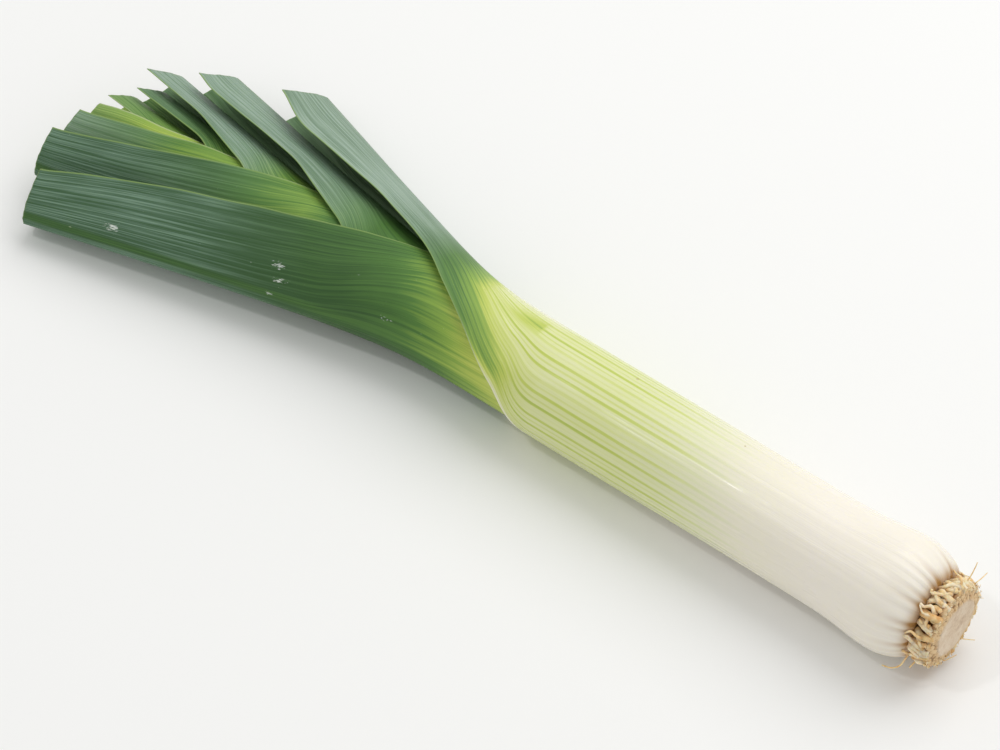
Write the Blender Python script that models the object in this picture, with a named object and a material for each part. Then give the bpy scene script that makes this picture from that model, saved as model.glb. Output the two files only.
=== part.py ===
"""A trimmed leek lying on a table: ten leaves wrapped one inside another, and the root plate they grow from.

Units are metres. The shaft lies along X with the root plate at +X and the fan of green leaves at -X.
The leaves leave the shaft in turn to the +Y side and to the -Y side, so the fan lies level.
The origin is on the table, in the middle of the leek's bounding box.

At each distance s from the root plate's cut face the ten leaves are part of ten closed loops, one inside
the other. A leaf is the part of its loop round its own keel. Low down it is the whole loop, a tube. Above
its throat the two margins draw apart on the side away from the keel and climb round towards it.
"""

import math
from dataclasses import dataclass

import bmesh
import bpy
import numpy as np

MM = 0.001

# Driving sizes of the shaft
SHAFT_RADIUS = 21.2 * MM
BULB_SWELL = 0.095
BULB_AT = 26.0 * MM
BULB_SPREAD = 15.0 * MM
BULB_AXIS_HEIGHT = 22.2 * MM
NECK_AXIS_HEIGHT = 20.7 * MM
NECK_AT = 229.0 * MM
ROOT_END_X = 205.08 * MM
AXIS_Y = -5.64 * MM

# How the leaves are stacked, from the outermost inwards
LEAF_PITCH = 1.95 * MM
SHEATH_THICKNESS = 1.1 * MM
BLADE_THICKNESS = 0.85 * MM
BASE_OF_OUTER_LEAF = 9.4 * MM
BASE_STEP = 0.9 * MM
BASE_PINCH = 0.65
SHOULDER_LENGTH = 16.0 * MM
FLAT_WALL = 0.75  # share of a leaf's thickness that is left where the table flattens it

# The fan: where the round shaft turns into it, and its shape further out
FAN_START = 194.0 * MM
FAN_LENGTH = 110.0 * MM
FAN_RISE = 1.5 * MM
KEEL_SHARPNESS = 0.15
FAN_PITCH_LOSS = 0.18
UNDERSIDE_FLATTENING = 0.10
FAN_DROOP = 3.5 * MM
SIDE_DROOP = 8.0 * MM
SIDE_DROOP_AT = 60.0 * MM
BEND_WIDTH = 10.0 * MM

# The root plate, and the cut roots round it. Places are pairs or triples in mm along and from the axis.
PLATE_PROFILE = (
    (0, 0), (12.6, 0), (14.8, 0.7), (16.2, 2.2), (16.2, 4.0), (14.2, 7.8), (2.0, 16.0), (0, 16.2),
)
STUBS_IN_RING = (18, 16)
STUB_AT = (6.9, 4.6)
STUB_REACH = (18.2, 18.0)
ROOT_SEED = 7
ROOTLET_RADIUS = 0.4 * MM
ROOTLETS = (
    ((5, 13, 46), (4, 18, 48), (3.5, 22, 50), (3, 26, 54)),
    ((4, 13, 44), (1.5, 18, 42), (1, 20.5, 36), (1, 23, 30)),
    ((2.5, 12, -66), (0.5, 14.5, -66), (-1, 17, -62), (-2.5, 20, -58)),
    ((4, 14, -88), (2, 17, -87), (1, 19.5, -86)),
    ((4, 14, -104), (2, 18.5, -100), (0.5, 18.5, -92), (-0.5, 18.5, -84)),
    ((8, 12, -168), (8.5, 19, -164), (9.5, 22.5, -157), (14, 25, -146), (21, 27, -140)),
    ((7, 13, -137), (7.5, 18, -137), (8.5, 21.5, -136)),
)

# Where the leaves have their rows of points, in mm and in degrees of the margin's climb, and half the
# number of faces round each leaf
BASE_ROWS = (0, 1.2, 4, 9, 15)
ROWS = (34, 56, 154, 194, 210, 226, 240, 254, 268, 284, 304, 326, 352, 378)
COLUMNS = (9, 8, 8, 8, 8, 7, 7, 7, 6, 6)
MARGIN_STEP = 16
LAST_MARGIN_ROW = 95
ROW_SPACING = 5.0 * MM


@dataclass
class Leaf:
    """One leaf. side is +1 for a keel on the +Y side. Lengths are in millimetres and angles in degrees."""

    side: int
    leaves_at: float  # where the keel bends away from the shaft
    slope: float  # how fast the keel then moves out
    keel_end: float  # where the keel is cut off
    margin_end: float  # where the upper margin is cut off
    lower_end: float  # where the lower margin is cut off
    margins: tuple  # pairs of a place and the angle round the loop from keel to margin there
    lower_share: float  # how far round the lower half reaches at the tip, for the upper half's reach


LEAVES = [
    Leaf(+1, 226, 0.377, 350, 355, 366, (
        (185, 215), (194, 166), (208, 140), (218, 120), (230, 101), (241, 85), (252, 73), (265, 66),
        (288, 60), (310, 58), (335, 57), (355, 48),
    ), 1.4),
    Leaf(-1, 242, 0.235, 401, 404, 404, (
        (226, 180), (240, 147), (253, 119), (269, 101), (286, 88), (305, 77), (328, 68), (370, 55),
        (404, 43),
    ), 1.0),
    Leaf(+1, 238, 0.235, 383, 386, 394, (
        (252, 180), (266, 133), (286, 89), (301, 78), (323, 64), (347, 59), (377, 56), (386, 50),
    ), 0.85),
    Leaf(-1, 266, 0.150, 412, 413, 413, (
        (266, 180), (282, 160), (297, 138), (311, 119), (322, 106), (336, 93), (354, 80), (376, 66),
        (393, 58), (412, 50),
    ), 1.0),
    Leaf(+1, 280, 0.195, 398, 404, 411, (
        (299, 180), (316, 125), (338, 82), (359, 68), (372, 60), (403, 54),
    ), 1.4),
    Leaf(-1, 280, 0.105, 413, 410, 410, (
        (309, 180), (326, 137), (343, 109), (358, 99), (372, 86), (394, 72), (409, 64),
    ), 1.0),
    Leaf(+1, 288, 0.140, 398, 401, 409, (
        (329, 180), (344, 110), (362, 68), (384, 64), (403, 60),
    ), 1.0),
    Leaf(-1, 296, 0.050, 410, 407, 407, (
        (344, 180), (359, 130), (376, 102), (392, 95), (403, 84), (408, 74),
    ), 1.0),
    Leaf(+1, 304, 0.095, 405, 408, 412, (
        (354, 180), (372, 115), (393, 82), (408, 77),
    ), 1.12),
    Leaf(-1, 312, 0.020, 402, 404, 404, (
        (366, 180), (384, 120), (404, 95),
    ), 1.0),
]
MARGIN_SMOOTHING = 5.0
TIP_REACH = 100.0
CUT_DIP = 3.5 * MM


def ramp(x):
    """0 below 0, 1 above 1, and a smooth S between."""
    x = np.clip(x, 0, 1)
    return x * x * (3 - 2 * x)


def bend_out(x, width):
    """0 well below 0 and x well above it, with a smooth bend of that width between."""
    return width * np.logaddexp(0, x / width)


def fan_share(s):
    """0 in the round shaft and 1 out in the fan."""
    return ramp((s - FAN_START) / FAN_LENGTH)


def base_of(i):
    """Where leaf i grows from the root plate, which is domed towards the middle."""
    return BASE_OF_OUTER_LEAF + i * BASE_STEP


def sheath_radius(i, s, inset=0.0):
    """Radius of leaf i's sheath, with the bulb's swelling and the pinch where it meets the root plate."""
    rise = np.clip((s - base_of(i)) / SHOULDER_LENGTH, 0, 1)
    pinch = BASE_PINCH + (1 - BASE_PINCH) * np.sqrt(1 - (1 - rise) ** 2)
    bulb = 1 + BULB_SWELL * np.exp(-(((s - BULB_AT) / BULB_SPREAD) ** 2))
    return (SHAFT_RADIUS - i * LEAF_PITCH - inset) * pinch * bulb


def keel_reach(i, s):
    """How far leaf i's keel stands from the shaft's axis: its sheath's radius, and the bend away from it."""
    leaf = LEAVES[i]
    return sheath_radius(i, s) + leaf.slope * bend_out(s - leaf.leaves_at * MM, BEND_WIDTH)


def back_reach(i, s):
    """How far leaf i's loop reaches on the side away from its keel, just clear of the next leaf's keel."""
    if i + 1 < len(LEAVES):
        gap = sheath_radius(i, s) - sheath_radius(i + 1, s)
        return keel_reach(i + 1, s) + gap
    return sheath_radius(i, s)


def throat_of(i):
    """Where leaf i's sheath opens."""
    return (LEAVES[i].margins[0][0] - MARGIN_SMOOTHING) * MM


def margin_angles(i, s):
    """Angles round the loop from the keel to the upper and the lower margin.

    They make up a whole turn up to the throat. Past it the lower one follows the upper one's curve from
    where that has come down to the angle that the lower one starts with. Towards the tip it takes on its
    own share of the upper one.
    """
    places, angles = (np.array(values, float) for values in zip(*LEAVES[i].margins))
    lower_start = 360 - angles[0]
    lead = np.interp(-lower_start, -angles, places) - places[0]
    shifts = np.linspace(-MARGIN_SMOOTHING, MARGIN_SMOOTHING, 9)
    upper = np.mean([np.interp(s / MM + d, places, angles) for d in shifts], axis=0)
    lower = np.mean([np.interp(s / MM + d + lead, places, angles) for d in shifts], axis=0)
    tip = ramp((s / MM - LEAVES[i].keel_end) / TIP_REACH + 1)
    lower = np.minimum(lower, lower_start) * (1 + (LEAVES[i].lower_share - 1) * tip)
    return np.radians(upper), np.radians(lower)


def axis_height(s):
    """Height of the shaft's axis: the leek lies on its bulb and on its neck. The fan droops further."""
    lean = (BULB_AXIS_HEIGHT - NECK_AXIS_HEIGHT) / (NECK_AT - BULB_AT)
    shaft = BULB_AXIS_HEIGHT - lean * (np.minimum(s, NECK_AT) - BULB_AT)
    return shaft - FAN_DROOP * ramp((s - FAN_START) / (2 * FAN_LENGTH))


def loop_point(i, s, angle, inset=0.0):
    """A point of leaf i's loop at distance s, angle from its keel, inset towards the inside.

    Across, it is the reach on that side times cos(angle). Up and down it is H times sin(angle) to a power
    that is 1 in the shaft, which makes a circle, and more in the fan, which makes a lens with sharp keels.
    The fan's sides droop to the table as the square of the distance from the axis.
    """
    share = fan_share(s)
    reach = np.where(np.cos(angle) > 0, keel_reach(i, s), back_reach(i, s)) - inset
    across = reach * np.cos(angle)
    half_height = sheath_radius(i, s, inset) + share * (FAN_RISE + FAN_PITCH_LOSS * i * LEAF_PITCH)
    lift = np.sign(np.sin(angle)) * np.abs(np.sin(angle)) ** (1 + 2 * KEEL_SHARPNESS * share)
    flattening = np.where(lift < 0, 1 - UNDERSIDE_FLATTENING * share, 1)
    droop = SIDE_DROOP * share * (across / SIDE_DROOP_AT) ** 2
    x = ROOT_END_X - s
    y = AXIS_Y + LEAVES[i].side * across
    z = axis_height(s) + half_height * lift * flattening - droop
    return np.stack([x + 0 * y, y, z], axis=-1)


def stations(i):
    """Distances from the root at which leaf i has a row of points, from its base to its tip.

    Past the throat there is a row at every MARGIN_STEP that the margin climbs, until it is near the top.
    """
    places, angles = zip(*LEAVES[i].margins)
    climbed = np.arange(angles[0] - MARGIN_STEP, LAST_MARGIN_ROW, -MARGIN_STEP)
    margin = np.interp(-climbed, -np.array(angles), places) * MM
    own = [base_of(i) + step * MM for step in BASE_ROWS] + [throat_of(i), *margin, LEAVES[i].keel_end * MM]
    shared = [s * MM for s in ROWS if s * MM < own[-1] and min(abs(s * MM - m) for m in own) > ROW_SPACING]
    return np.array(sorted(own + shared))


def leaf_skin(i, columns, inset):
    """Rows of points over leaf i's whole skin: [station, column], the keel in the middle column.

    The cut end slants from the keel to the margins. The table flattens what would sink into it.
    """
    leaf = LEAVES[i]
    rows = stations(i)
    share = np.linspace(-1, 1, 2 * columns + 1)
    slant = (np.where(share > 0, leaf.margin_end, leaf.lower_end) - leaf.keel_end) * MM
    dip = np.where(share > 0, CUT_DIP, 0.0) if leaf.side > 0 else 0.0
    last_half = np.clip((rows - throat_of(i)) / (rows[-1] - throat_of(i)), 0, 1) ** 3
    across = np.abs(share)[None, :]
    s = rows[:, None] + last_half[:, None] * (slant * across - 4 * dip * across * (1 - across))
    upper, lower = margin_angles(i, s)
    angle = share[None, :] * np.where(share[None, :] > 0, upper, lower)
    points = loop_point(i, s, angle, inset)
    points[..., 2] = np.maximum(points[..., 2], FLAT_WALL * np.asarray(inset))
    return rows, points


def leaf_mesh(i, columns):
    """Leaf i as a closed solid: an outer and an inner skin, joined at the base, the tip and the margins."""
    rows, outer = leaf_skin(i, columns, 0.0)
    fan = fan_share(rows)
    thickness = SHEATH_THICKNESS + fan * (BLADE_THICKNESS - SHEATH_THICKNESS)
    pinch = sheath_radius(i, rows) / sheath_radius(i, rows + SHOULDER_LENGTH)
    thickness = thickness * np.clip(pinch, BASE_PINCH, 1)
    _, inner = leaf_skin(i, columns, thickness[:, None])
    bm = bmesh.new()
    is_tube = rows <= throat_of(i) + 1e-7
    outer = skin_vertices(bm, outer, is_tube)
    inner = skin_vertices(bm, inner, is_tube)
    last = 2 * columns
    for r in range(len(rows) - 1):
        for c in range(last):
            bm.faces.new((outer[r][c], outer[r][c + 1], outer[r + 1][c + 1], outer[r + 1][c]))
            bm.faces.new((inner[r][c], inner[r + 1][c], inner[r + 1][c + 1], inner[r][c + 1]))
        if outer[r + 1][0] is not outer[r + 1][last]:
            bm.faces.new((outer[r][0], outer[r + 1][0], inner[r + 1][0], inner[r][0]))
            bm.faces.new((outer[r][last], inner[r][last], inner[r + 1][last], outer[r + 1][last]))
    for c in range(last):
        bm.faces.new((outer[0][c], inner[0][c], inner[0][c + 1], outer[0][c + 1]))
        bm.faces.new((outer[-1][c], outer[-1][c + 1], inner[-1][c + 1], inner[-1][c]))
    bmesh.ops.recalc_face_normals(bm, faces=bm.faces)
    return bm


def skin_vertices(bm, points, is_tube):
    """Vertices at the points, row by row. A row of the tube ends on the vertex it began with."""
    skin = []
    for row, closed in zip(points, is_tube):
        if closed:
            vertices = [bm.verts.new(p) for p in row[:-1]]
            skin.append(vertices + vertices[:1])
        else:
            skin.append([bm.verts.new(p) for p in row])
    return skin


def shaft_place(s, radius, turn):
    """The point at distance s from the root and that far from the axis, in mm, at a turn from +Y to +Z."""
    y = AXIS_Y + radius * MM * np.cos(turn)
    z = BULB_AXIS_HEIGHT + radius * MM * np.sin(turn)
    return np.array([ROOT_END_X - s * MM, y, z])


def lathe(bm, profile, sides):
    """A closed solid turned round the shaft's axis from pairs of a radius and a distance s, in mm."""
    rings = []
    for radius, s in profile:
        turns = [2 * math.pi * (k + 0.5) / sides for k in range(sides if radius else 1)]
        rings.append([bm.verts.new(shaft_place(s, radius, turn)) for turn in turns])
    for a, b in zip(rings, rings[1:]):
        for k in range(sides):
            following = k + 1
            corners = (a[k % len(a)], a[following % len(a)], b[following % len(b)], b[k % len(b)])
            bm.faces.new(list(dict.fromkeys(corners)))


def tube(bm, points, radii, sides):
    """A closed round tube through the points, with a radius at each of them."""
    points = np.array(points)
    along = np.gradient(points, axis=0)
    along /= np.linalg.norm(along, axis=1)[:, None]
    rings = []
    for point, direction, radius in zip(points, along, radii):
        across = np.cross(direction, (0.31, 0.52, 0.80))
        across /= np.linalg.norm(across)
        other = np.cross(direction, across)
        turns = [2 * math.pi * k / sides for k in range(sides)]
        ring = [point + radius * (math.cos(t) * across + math.sin(t) * other) for t in turns]
        rings.append([bm.verts.new(p) for p in ring])
    for a, b in zip(rings, rings[1:]):
        for k in range(sides):
            bm.faces.new((a[k], a[(k + 1) % sides], b[(k + 1) % sides], b[k]))
    bm.faces.new(rings[0])
    bm.faces.new(rings[-1])


def root_stubs():
    """Paths and radii of the cut roots: two rings of short stubs that curl out and back to the cut face."""
    random = np.random.default_rng(ROOT_SEED)
    paths = []
    for row, count in enumerate(STUBS_IN_RING):
        for k in range(count):
            turn = 2 * math.pi * (k + 0.5 * row + random.uniform(-0.25, 0.25)) / count
            twist = random.uniform(-0.09, 0.09)
            reach = STUB_REACH[row] + random.uniform(-0.8, 0.5)
            s = STUB_AT[row] + random.uniform(-0.6, 0.6)
            curve = ((s, 11.5), (s, reach - 1.4), (s - 1.0, reach), (s - 2.7, reach - 0.4))
            path = [shaft_place(a, r, turn + twist * n) for n, (a, r) in enumerate(curve)]
            paths.append((path, np.array([1.0, 1.0, 0.9, 0.75]) * random.uniform(0.75, 1.0) * MM))
    for curve in ROOTLETS:
        path = [shaft_place(a, r, math.radians(turn)) for a, r, turn in curve]
        paths.append((path, np.full(len(path), ROOTLET_RADIUS)))
    return paths


def root_plate_mesh():
    """The woody plate, a short turned dome with a flat cut face, as one solid with its root stubs."""
    plate = bmesh.new()
    lathe(plate, PLATE_PROFILE, 24)
    bmesh.ops.recalc_face_normals(plate, faces=plate.faces)
    collection = bpy.data.collections.new("cut roots")
    bpy.context.scene.collection.children.link(collection)
    stubs = []
    for path, radii in root_stubs():
        bm = bmesh.new()
        tube(bm, path, radii, 4)
        bmesh.ops.recalc_face_normals(bm, faces=bm.faces)
        stubs.append(new_object("stub", bm, collection))
    body = new_object("plate", plate, bpy.context.scene.collection)
    union = body.modifiers.new("with its roots", "BOOLEAN")
    union.operation = "UNION"
    union.operand_type = "COLLECTION"
    union.collection = collection
    union.solver = "MANIFOLD"
    joined = bmesh.new()
    joined.from_object(body, bpy.context.evaluated_depsgraph_get())
    for obj in [body, *stubs]:
        bpy.data.objects.remove(obj)
    bpy.data.collections.remove(collection)
    return joined


def new_object(name, bm, collection):
    mesh = bpy.data.meshes.new(name)
    bm.to_mesh(mesh)
    bm.free()
    obj = bpy.data.objects.new(name, mesh)
    collection.objects.link(obj)
    return obj


def add_part(name, bm, material):
    obj = new_object(name, bm, bpy.context.scene.collection)
    obj.data.materials.append(material)
    obj.data.shade_smooth()
    obj.data.set_sharp_from_angle(angle=math.radians(40))


def new_material(name, colour, roughness):
    material = bpy.data.materials.new(name)
    material.use_nodes = True
    shader = material.node_tree.nodes["Principled BSDF"]
    shader.inputs["Base Color"].default_value = (*colour, 1.0)
    shader.inputs["Roughness"].default_value = roughness
    return material


def build():
    for obj in list(bpy.data.objects):
        bpy.data.objects.remove(obj)
    green = new_material("leaf green", (0.10, 0.22, 0.07), 0.45)
    young = new_material("young leaf", (0.28, 0.42, 0.08), 0.45)
    for i in range(len(LEAVES)):
        add_part(f"leaf_{i + 1:02d}", leaf_mesh(i, COLUMNS[i]), green if i < 5 else young)
    plate = new_material("root plate", (0.72, 0.58, 0.38), 0.8)
    add_part("root_plate", root_plate_mesh(), plate)


build()
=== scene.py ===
"""A trimmed leek on a pale table: the looks of its ten leaves and of its root end.

Units are metres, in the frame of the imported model. The shaft lies along X with the root plate at +X. A
place on a leaf is given by s, the distance from the root plate's cut face, and by u, which runs from -1 at
the lower margin over 0 at the keel to 1 at the upper margin.
"""

import math
from dataclasses import dataclass

import bpy
import numpy as np
from mathutils import Matrix, Vector


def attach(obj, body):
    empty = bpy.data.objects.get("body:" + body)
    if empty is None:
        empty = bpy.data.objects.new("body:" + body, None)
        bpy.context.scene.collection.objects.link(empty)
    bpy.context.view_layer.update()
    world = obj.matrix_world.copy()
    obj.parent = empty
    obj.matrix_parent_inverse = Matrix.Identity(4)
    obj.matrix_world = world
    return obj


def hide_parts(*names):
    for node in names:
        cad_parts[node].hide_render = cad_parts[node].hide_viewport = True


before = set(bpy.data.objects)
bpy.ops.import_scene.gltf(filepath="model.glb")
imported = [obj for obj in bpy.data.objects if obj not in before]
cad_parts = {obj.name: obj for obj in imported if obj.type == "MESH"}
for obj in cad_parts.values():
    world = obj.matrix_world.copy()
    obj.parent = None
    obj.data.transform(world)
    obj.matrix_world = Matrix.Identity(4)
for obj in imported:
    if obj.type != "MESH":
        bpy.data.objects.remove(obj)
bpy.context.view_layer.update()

MM = 0.001

# Driving sizes of the shaft
SHAFT_RADIUS = 21.2 * MM
BULB_SWELL = 0.095
BULB_AT = 26.0 * MM
BULB_SPREAD = 15.0 * MM
BULB_AXIS_HEIGHT = 22.2 * MM
NECK_AXIS_HEIGHT = 20.7 * MM
NECK_AT = 229.0 * MM
ROOT_END_X = 205.08 * MM
AXIS_Y = -5.64 * MM

# How the leaves are stacked, from the outermost inwards
LEAF_PITCH = 1.95 * MM
SHEATH_THICKNESS = 1.1 * MM
BLADE_THICKNESS = 0.85 * MM
MARGIN_THICKNESS = 0.3 * MM
MARGIN_TAPER = 4.0 * MM
BASE_OF_OUTER_LEAF = 9.4 * MM
BASE_STEP = 0.9 * MM
BASE_PINCH = 0.65
SHOULDER_LENGTH = 16.0 * MM
FLAT_WALL = 0.75

FIRST_YOUNG_LEAF = 5

# The fan
FAN_START = 194.0 * MM
FAN_LENGTH = 110.0 * MM
FAN_RISE = 1.5 * MM
KEEL_SHARPNESS = 0.15
FAN_PITCH_LOSS = 0.18
UNDERSIDE_FLATTENING = 0.10
FAN_DROOP = 3.5 * MM
SIDE_DROOP = 8.0 * MM
SIDE_DROOP_AT = 60.0 * MM
BEND_WIDTH = 10.0 * MM
MARGIN_SMOOTHING = 5.0
TIP_REACH = 100.0
CUT_DIP = 3.5 * MM

# How the veins turn with the margin past the throat
VEIN_POWER = 3.0
VEIN_TURN = 62.0 * MM

# Relief of the leaves' surface, in millimetres
PLEATS_ROUND_HALF = 18
PLEATS = ((0.7, 6.0), (0.4, 15.0))  # height, and how far up the bulb it fades
FINE_RIBS = (0.03, 0.012)
BROAD_RIBS = (0.05, 0.02)  # in the fan alone
DENT = 0.12
NECK_HOLLOW = 1.1
NECK_HOLLOW_AT = (201.0, 112.0)  # distance, and degrees round from the keel
FLAP_LIFT = 1.7
FLAP_CURVE = 1.6
FLAP_LOSS_AT_TIP = 0.75
CUT_UNEVENNESS = 0.1
CUT_WAVES = (0.9, 0.37, 0.16)  # periods, in shares of half a leaf
UPPER_MARGIN_WAVES = ((83.0, 37.0), 0.3)  # periods, and degrees round the loop
LOWER_MARGIN_WAVES = ((91.0, 47.0), 0.4)

# Colour along and round the leaves, in millimetres and degrees
KEEL_STRIPE_AT = 3.6  # how far above the keel its dark stripe lies
SHAFT_SLANT = 0.12  # how much nearer the root the shaft greens for each degree round from the keel
FAR_SIDE_FROM = 72.0  # the outermost leaf greens evenly nearer its keel than this
NECK_GREENS = ((180, 0.33), (190, 0.4), (200, 0.6), (212, 0.76), (245, 1.0))  # the most at each place
PALE_MARGIN = 0.36
LIME_PATCH = 0.19
LIME_PATCH_ANGLE = 72.0
# A painted highlight: a paler band along the top edge of the outermost leaf's neck, on the far side.
RIM_HIGHLIGHT = 0.16
RIM_HIGHLIGHT_ANGLE = 36.0
SCUFFED_LEAF = 1  # the second, as leaves count from 0
# Its scuffs: distance, degrees from the keel, and size along and round
SCUFFS = ((366, 26, 3.5), (298, 41, 3.5), (295, 29, 3), (297, 14, 2), (250, 30, 2.5))

# The root end, in millimetres
FACE_RADIUS = 10.8
FACE_DISH = 0.4
RIM_RADIUS = 17.0
RIM_SLOPE = 0.24
PLATE_BACK = (
    (16.6, 2.9), (15.0, 3.6), (13.6, 4.6), (13.1, 7.0), (11.5, 10), (8, 12), (3, 14.5), (0, 15),
)  # the radius, and its distance from the cut
CUT_ROOTS = 240
CUT_ROOT_RADIUS = 1.05
CUT_ROOT_RISE = 0.75
PACKED_STUBS = 50
LOOSE_STUBS = 36
CURLED_STUBS = 17
FIBRES = 130

# The rootlets' routes: distance, radius and degrees round from +Y
ROOTLETS = (
    ((5, 13, 46), (4, 18, 48), (3.5, 22, 50), (3, 26, 54)),
    ((4, 13, 44), (1.5, 18, 42), (1, 20.5, 36), (1, 23, 30)),
    ((2.5, 12, -66), (0.5, 14.5, -66), (-1, 17, -62), (-2.5, 20, -58)),
    ((4, 14, -88), (2, 17, -87), (1, 19.5, -86)),
    ((4, 14, -104), (2, 18.5, -100), (0.5, 18.5, -92), (-0.5, 18.5, -84)),
    ((8, 12, -168), (8.5, 19, -164), (9.5, 22.5, -157), (13, 24.6, -148), (17, 25.6, -144)),
    ((7, 13, -137), (7.5, 18, -137), (8.5, 21.5, -136)),
)
ROOTLET_RADII = (0.3, 0.26, 0.24, 0.2, 0.26, 0.42, 0.5)

# The camera that the photograph was taken with: 1000 by 750 pixels
CAMERA_AZIMUTH = 38.106
CAMERA_ELEVATION = 51.301
CAMERA_LENS = 181.386
CAMERA_DISTANCE = 1.9
CAMERA_TARGET = (0.001736, -0.013796, 0.020)


@dataclass
class Leaf:
    """One leaf. side is +1 for a keel on the +Y side. Lengths are in millimetres and angles in degrees."""

    side: int
    leaves_at: float  # where the keel bends away from the shaft
    slope: float  # how fast the keel then moves out
    keel_end: float  # where the keel is cut off
    margin_end: float  # where the upper margin is cut off
    lower_end: float  # where the lower margin is cut off
    margins: tuple  # pairs of a place and the angle round the loop from keel to margin there
    lower_share: float  # how far round the lower half reaches at the tip, for the upper half's reach
    green_slant: float  # how much nearer the root the leaf greens for each degree round from the keel
    # On some leaves a darker green at a place is painted shade, where a neighbouring leaf shades it.
    greens_with_painted_shade: tuple  # pairs of a place and how green the leaf is there, from 0, cream, to 1, dark green
    # On one leaf more bloom at a place is painted light, lifting a stretch that a neighbouring leaf shades.
    blooms_with_painted_light: tuple  # pairs of a place and how much blue-grey wax the leaf has there
    half_columns: int = 56  # half the columns of its mesh, more on the leaves that show most


LEAVES = [
    Leaf(+1, 226, 0.377, 350, 355, 366, (
        (185, 215), (194, 166), (208, 140), (218, 120), (230, 101), (241, 85), (252, 73), (265, 66),
        (288, 60), (310, 58), (335, 57), (355, 48),
    ), 1.4, 0.44, (
        (60, 0), (90, 0.09), (112, 0.2), (130, 0.28), (152, 0.33), (185, 0.34), (204, 0.36), (213, 0.43),
        (221, 0.61), (231, 0.76), (245, 0.84), (275, 0.95),
    ), ((236, 0), (254, 0.7), (280, 0.95), (320, 0.9), (350, 0.8)), half_columns=108),
    Leaf(-1, 242, 0.235, 401, 404, 404, (
        (226, 180), (240, 147), (253, 119), (269, 101), (286, 88), (305, 77), (328, 68), (370, 55),
        (404, 43),
    ), 1.0, -0.3, (
        (214, 0.42), (230, 0.54), (244, 0.68), (262, 0.84), (285, 0.94), (320, 1),
    ), ((262, 0), (300, 0.04), (322, 0.25), (345, 0.7), (372, 0.95)), half_columns=84),
    # The third leaf's darker green about 272 mm out is painted shade, in the groove beside the outermost
    # leaf's margin.
    Leaf(+1, 238, 0.235, 383, 386, 394, (
        (252, 180), (266, 133), (286, 89), (301, 78), (323, 64), (347, 59), (377, 56), (386, 50),
    ), 0.85, 0.0, (
        (220, 0.5), (250, 0.72), (272, 0.86), (290, 0.8), (310, 0.88), (330, 0.92),
    ), ((276, 0), (310, 0.75), (340, 0.95))),
    # The fourth leaf's darker green from 270 to 292 mm is painted shade, next to the third leaf's margin.
    Leaf(-1, 266, 0.150, 412, 413, 413, (
        (266, 180), (282, 160), (297, 138), (311, 119), (322, 106), (336, 93), (354, 80), (376, 66),
        (393, 58), (412, 50),
    ), 1.0, 0.0, (
        (270, 0.84), (292, 0.8), (304, 0.67), (322, 0.74), (345, 0.9), (375, 0.97),
    ), ((318, 0.05), (350, 0.4), (385, 0.9)), half_columns=84),
    # The fifth leaf's heavier bloom from 345 mm on is partly painted light, where a neighbouring leaf shades
    # it.
    Leaf(+1, 280, 0.195, 398, 404, 411, (
        (299, 180), (316, 125), (338, 82), (359, 68), (372, 60), (403, 54),
    ), 1.4, 0.0, (
        (270, 0.6), (310, 0.68), (335, 0.74), (355, 0.85), (378, 0.92),
    ), ((322, 0), (345, 0.85), (365, 1.0))),
    Leaf(-1, 280, 0.105, 413, 410, 410, (
        (309, 180), (326, 137), (343, 109), (358, 99), (372, 86), (394, 72), (409, 64),
    ), 1.0, 0.0, ((300, 0.54), (325, 0.6), (350, 0.66), (385, 0.8)), ((365, 0), (395, 0.45), (412, 0.7))),
    Leaf(+1, 288, 0.140, 398, 401, 409, (
        (329, 180), (344, 110), (362, 68), (384, 64), (403, 60),
    ), 1.0, 0.0, ((310, 0.52), (335, 0.66), (360, 0.78), (385, 0.86)), ((350, 0), (385, 0.35))),
    Leaf(-1, 296, 0.050, 410, 407, 407, (
        (344, 180), (359, 130), (376, 102), (392, 95), (403, 84), (408, 74),
    ), 1.0, 0.0, ((330, 0.52), (355, 0.55), (380, 0.58), (405, 0.64)), ((385, 0), (405, 0.2))),
    # The ninth leaf's green from 360 mm to its tip is a little darker, as painted shade.
    Leaf(+1, 304, 0.095, 405, 408, 412, (
        (354, 180), (372, 115), (393, 82), (408, 77),
    ), 1.12, 0.0, ((330, 0.54), (360, 0.64), (385, 0.72), (405, 0.72)), ((370, 0), (405, 0.2))),
    Leaf(-1, 312, 0.020, 402, 404, 404, (
        (366, 180), (384, 120), (404, 95),
    ), 1.0, 0.0, ((340, 0.48), (370, 0.56), (395, 0.62)), ((370, 0), (402, 0.2))),
]


def ramp(x):
    """0 below 0, 1 above 1, and a smooth S between."""
    x = np.clip(x, 0, 1)
    return x * x * (3 - 2 * x)


def bend_out(x, width):
    """width times log(1 + e^(x / width)): 0 well below 0 and x well above it, with a smooth bend between."""
    return width * np.logaddexp(0, x / width)


def bell(x, width):
    """1 at 0, falling off on both sides as a bell curve of that width."""
    return np.exp(-((x / width) ** 2))


def fan_share(s):
    """0 in the round shaft and 1 out in the fan."""
    return ramp((s - FAN_START) / FAN_LENGTH)


def base_of(i):
    """Where leaf i grows from the root plate, which is domed towards the middle."""
    return BASE_OF_OUTER_LEAF + i * BASE_STEP


def sheath_radius(i, s, inset=0.0):
    """Radius of leaf i's sheath. A bell curve swells it at the bulb, and a quarter circle pinches it where
    it meets the root plate."""
    rise = np.clip((s - base_of(i)) / SHOULDER_LENGTH, 0, 1)
    pinch = BASE_PINCH + (1 - BASE_PINCH) * np.sqrt(1 - (1 - rise) ** 2)
    bulb = 1 + BULB_SWELL * bell(s - BULB_AT, BULB_SPREAD)
    return (SHAFT_RADIUS - i * LEAF_PITCH - inset) * pinch * bulb


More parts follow.
